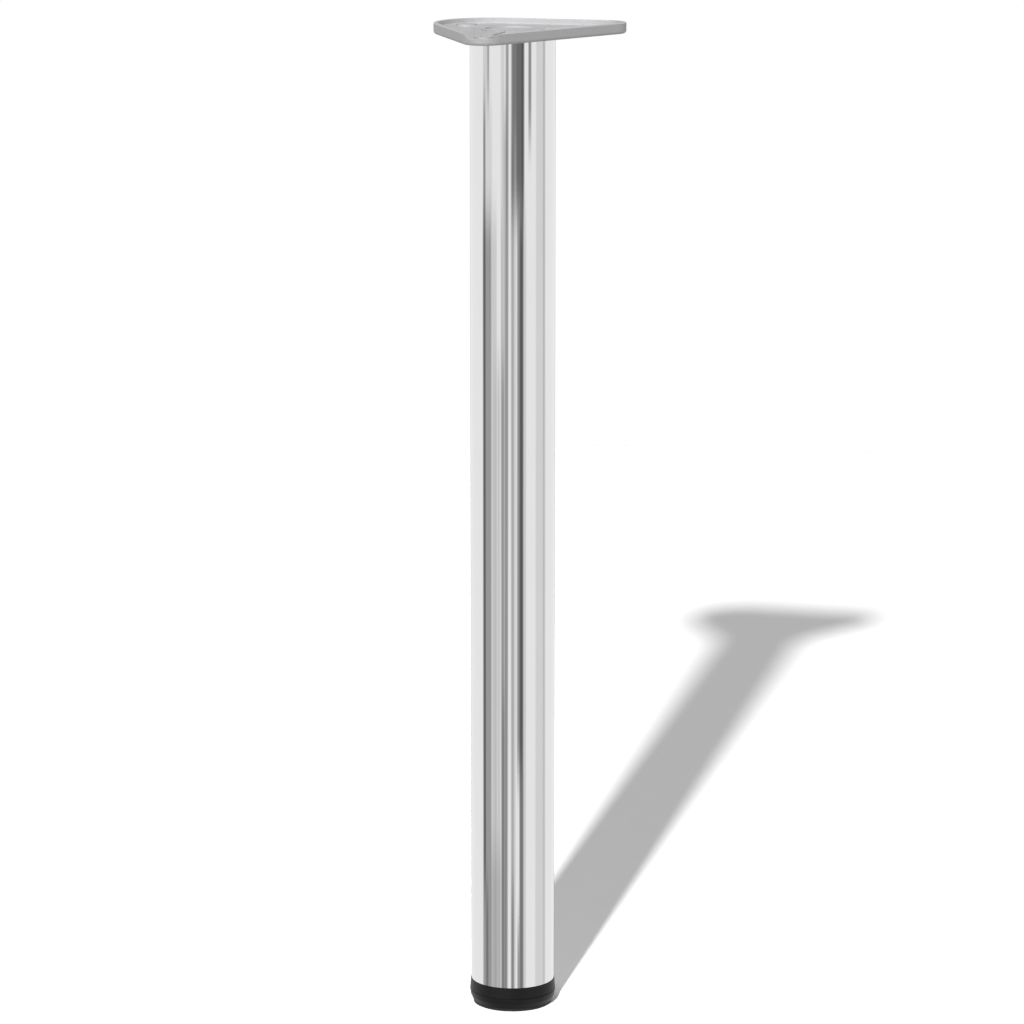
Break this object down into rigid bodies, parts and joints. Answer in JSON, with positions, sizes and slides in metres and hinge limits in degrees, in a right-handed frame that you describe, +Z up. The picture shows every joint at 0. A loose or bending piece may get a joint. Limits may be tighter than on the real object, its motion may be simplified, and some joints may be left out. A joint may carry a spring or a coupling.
{
  "type": "height adjustable table leg",
  "caption": "Round chromed table leg with a triangular cast mounting plate and a black screw foot that adjusts the height.",
  "frame": {"origin": "middle of the foot's floor contact, with the foot screwed right in", "axes": "+Z up the tube; the plate's blunt corner points to -X +Y, towards the table's corner"},
  "size_m": [0.1354, 0.1354, 0.71],
  "materials": {
    "cast_metal": "satin die-cast, lacquered",
    "chrome_plate": "bright chrome plating",
    "bright_steel": "zinc-plated",
    "black_plastic": "fine moulded grain",
    "pad_rubber": "matte"
  },
  "bodies": {
    "leg": {"mounting_plate": "cast_metal", "tube_hub": "cast_metal", "leg_tube": "chrome_plate", "clamp_screw": "bright_steel", "tube_plug": "black_plastic", "spindle_nut": "bright_steel"},
    "pad": {"foot_pad": "pad_rubber"},
    "foot": {"foot_spindle": "bright_steel", "foot_cap": "black_plastic"}
  },
  "joints": [
    {"name": "foot_travel", "type": "slide", "parent": "leg", "child": "pad", "axis": [0, 0, -1], "range_m": [0, 0.02]},
    {"name": "foot_turn", "type": "hinge", "parent": "pad", "child": "foot", "pos_m": [0, 0, 0.006], "axis": [0, 0, -1], "range_deg": [0, 4800]}
  ],
  "couplings": [
    {"joint": "foot_travel", "follows": "foot_turn", "m_per_rad": 0.00023873}
  ]
}
